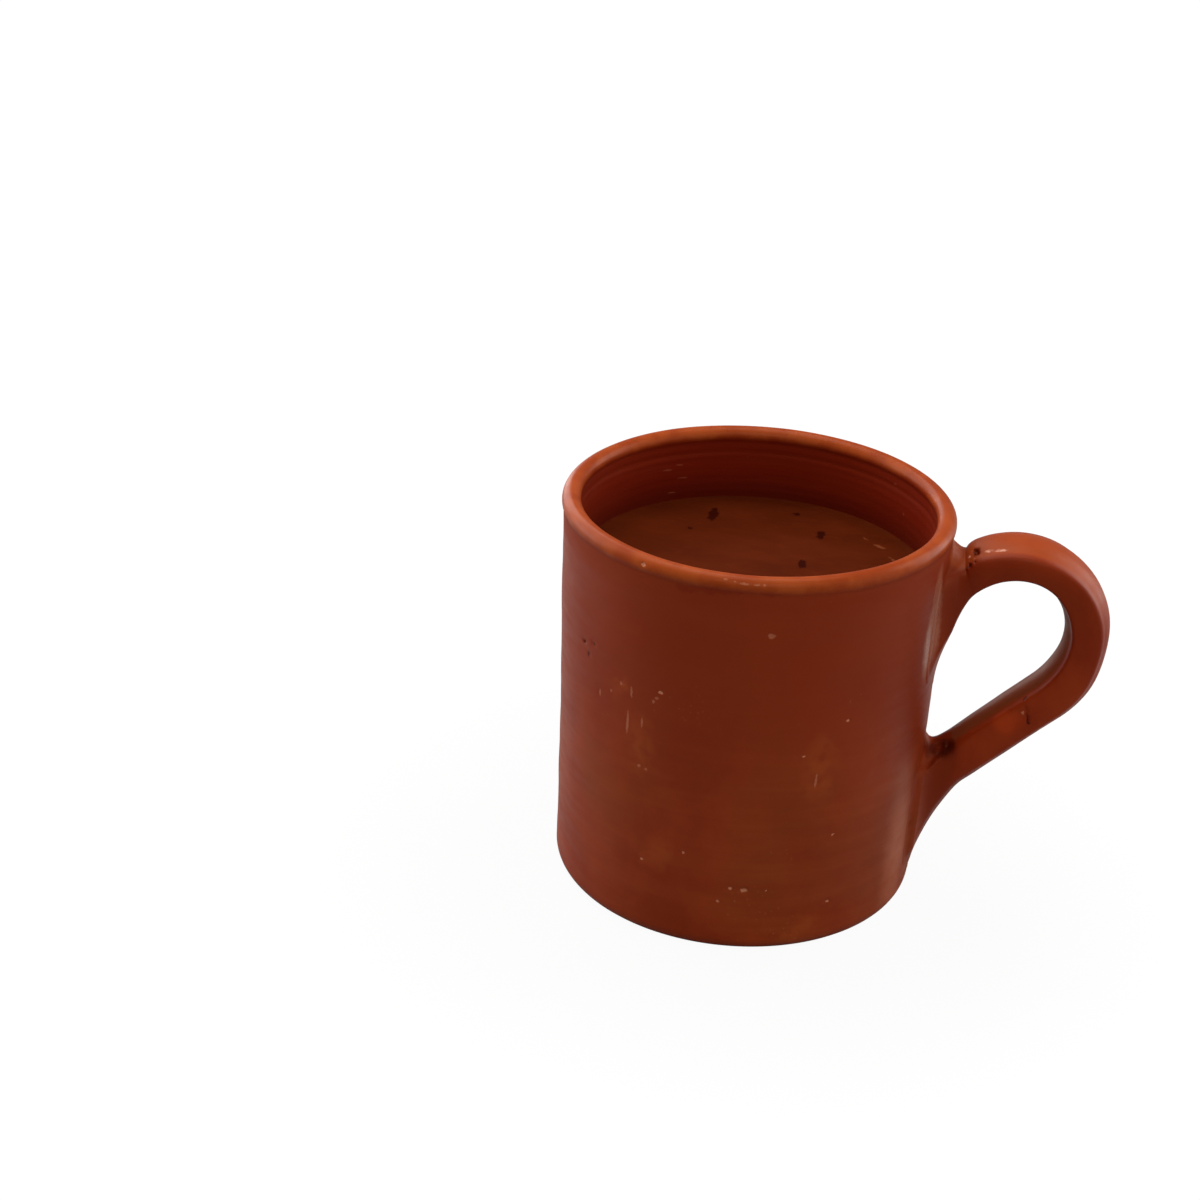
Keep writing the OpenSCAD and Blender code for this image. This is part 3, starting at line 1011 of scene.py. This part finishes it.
# Lower root
# Soft clay that joins the lower end of the strap, drawn down the wall to a tail near the foot.
# It was smoothed with a wet finger, so it flows into the wall on both sides.
close_ends(lower_root)
lower_root.data.materials.append(luting_slip)
smooth(lower_root, angle=50)
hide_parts("lower_luting")
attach(lower_root, "root")

# Drink
# A still, dull brown drink that fills the cup to 16 mm below the rim.
# It is what the cup holds, and no piece of the cup, so it takes the place of no node.
clear_of_clay = 0.1 * MM
into_wall = 0.3 * MM
drink_edge = inner_radius(drink_level) + into_wall
drink_sides = 144
# It creeps up the wall in steps, each a distance from its edge and a height over its level, in mm.
creep = [(0, 0.35), (0.35, 0.35), (0.8, 0.14), (1.6, 0.03), (3, 0)]
# Its flat middle runs from this radius inwards, in steps, both in mm.
flat_from = 32
flat_step = 4
drink_outline = [(0, floor_thick + clear_of_clay), (well - well_round, floor_thick + clear_of_clay)]
drink_outline.append((well - clear_of_clay, floor_thick + well_round))
drink_outline += [(drink_edge - off * MM, drink_level + up * MM) for off, up in creep]
drink_outline += [(r * MM, drink_level) for r in range(flat_from, -1, -flat_step)]
drink = turn_on_wheel("still_drink", drink_outline, drink_sides)

# A skin has formed on it, so it is dull, faintly wrinkled, and holds a few dark flecks and pale streaks.
drink_dark = "#4c1805"
drink_brown = "#551d07"
wrinkle_brown = "#602409"
fleck_dark = "#2a0401"
streak_pale = "#8a4a2a"
# Each fleck and streak is a place on the drink and half sizes, in mm.
dark_flecks = [
    (-11.8, 25.5, 1.2, 4),
    (12.5, 20.4, 1.05, 2.5),
    (9.8, 4.4, 1.1, 2.4),
    (-15.6, 16.7, 0.6, 1),
    (6.4, 30.4, 0.7, 1.1),
]
pale_streaks = [(25.5, 17.5, 1.6, 0.5), (28.2, 11.9, 1.4, 0.4), (22, 21, 1, 0.3)]
streak_turn = -40


def drink_spots(marks, turned):
    deep = 2
    return [((x * MM, y * MM, drink_level), (wide, tall, deep), turned) for x, y, wide, tall in marks]


brown_drink, tree, shader = new_material("milky_tea_with_a_skin", rough=0.55, gloss=0.03, tint=gloss_warm)
place = add(tree, "TexCoord", out="Object")
skin = patches(tree, place, size_mm=9, levels=(0.35, 0.7), stretch_by=(2, 1, 1), detail=4)
wrinkles = grain(tree, place, size_mm=1.2, stretch_by=(3, 1, 1), detail=4, rough=0.7)
colour = paint(tree, drink_dark, drink_brown, skin)
ridged = add(tree, "MapRange", (wrinkles, 0.5, 0.75), **SOFT)
colour = paint(tree, colour, wrinkle_brown, ridged, share=0.35)
spots = drink_spots(dark_flecks, turned=0)
colour = mark(tree, place, colour, fleck_dark, spots, ragged=(1.4, 1), share=0.9, edge=0.3)
spots = drink_spots(pale_streaks, streak_turn)
colour = mark(tree, place, colour, streak_pale, spots, ragged=(1.4, 1), share=0.5)
tree.links.new(colour, shader.inputs["Base Color"])
bump = add(tree, "Bump", {"Height": wrinkles, "Strength": 0.4, "Distance": 0.1 * MM})
tree.links.new(bump, shader.inputs["Normal"])
drink.data.materials.append(brown_drink)
smooth(drink, angle=60)
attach(drink, "root")

# Studio
# A seamless white sweep, with soft boxes overhead, in front, and beside and behind the cup on either side.
# The camera looks down on the cup from the front, turned so that the handle points to the right.
floor_half = 1.5
bpy.ops.object.select_all(action="DESELECT")
bpy.ops.mesh.primitive_plane_add(size=2 * floor_half, location=(0, 0, 0))
sweep = bpy.context.object
sweep.name = "white_sweep"
# White paper, matt. To the camera it glows away to white, and keeps a little shadow near the cup.
paper_grey = "#9c9c9a"
paper_glow = 1.03
near_cup = 0.05
far_from_cup = 0.15
least_glow = 0.92
paper, tree, shader = new_material("white_paper", rough=0.9)
shader.inputs["Base Color"].default_value = linear(paper_grey)
output = shader.outputs[0].links[0].to_node
place = add(tree, "TexCoord", out="Object")
apart = add(tree, "VectorMath", (place,), "Value", operation="LENGTH")
shown = add(tree, "MapRange", (apart, near_cup, far_from_cup, least_glow, 1), **SOFT)
to_camera = add(tree, "LightPath", out="Is Camera Ray")
share = add(tree, "Math", (to_camera, shown), operation="MULTIPLY")
seen = add(tree, "MixShader", (share, shader.outputs[0], add(tree, "Emission", {"Strength": paper_glow})))
tree.links.new(seen, output.inputs["Surface"])
sweep.data.materials.append(paper)

fill_light = 0.16
studio = bpy.data.worlds.new("white_studio")
bpy.context.scene.world = studio
studio.use_nodes = True
tree = studio.node_tree
tree.nodes.clear()
fill = add(tree, "Background", {"Color": "#ffffff", "Strength": fill_light})
white = add(tree, "Background", {"Color": "#ffffff", "Strength": 1})
seen = add(tree, "MixShader", (add(tree, "LightPath", out="Is Camera Ray"), fill, white))
add(tree, "OutputWorld", {"Surface": seen})

# Each soft box is a name, a place and a size in metres, and a power in watts. All face the cup's middle.
soft_boxes = [
    ("overhead_box", (-0.12, 0.12, 0.75), (0.6, 0.5), 3.4),
    ("front_box", (0.1, -0.95, 0.95), (0.9, 0.6), 4.7),
    ("left_box", (-0.72, 0.16, 0.32), (0.5, 0.8), 4.3),
    ("left_back_box", (-0.45, 0.6, 0.32), (0.4, 0.8), 2.9),
    ("right_box", (0.64, 0.4, 0.32), (0.45, 0.8), 4.2),
    ("right_side_box", (0.72, -0.24, 0.3), (0.5, 0.8), 1.4),
]
cup_middle = Vector((0, 0, cup_height / 2))
for name, place, size, power in soft_boxes:
    lamp = bpy.data.lights.new(name, "AREA")
    lamp.shape = "RECTANGLE"
    lamp.size, lamp.size_y = size
    lamp.energy = power
    holder = bpy.data.objects.new(name, lamp)
    bpy.context.scene.collection.objects.link(holder)
    holder.location = place
    holder.rotation_euler = (cup_middle - Vector(place)).to_track_quat("-Z", "Y").to_euler()

camera_place = Vector((31.85, -439.31, 275.7)) * MM
camera_bearing = math.radians(-8.313)
camera_pitch = math.radians(26.047)
camera_roll = math.radians(2.764)
lens = bpy.data.cameras.new("front_camera")
lens.lens = 69.15
lens.sensor_width = 36
lens.clip_start = 0.01
camera = bpy.data.objects.new("front_camera", lens)
bpy.context.scene.collection.objects.link(camera)
ahead = Vector((math.sin(camera_bearing), math.cos(camera_bearing), 0))
forward = math.cos(camera_pitch) * ahead - math.sin(camera_pitch) * Vector((0, 0, 1))
level_right = Vector((math.cos(camera_bearing), -math.sin(camera_bearing), 0))
level_up = level_right.cross(forward)
right = math.cos(camera_roll) * level_right + math.sin(camera_roll) * level_up
up = right.cross(forward)
camera.matrix_world = Matrix((right, up, -forward)).transposed().to_4x4()
camera.location = camera_place
bpy.context.scene.camera = camera
bpy.context.scene.view_settings.view_transform = "Standard"
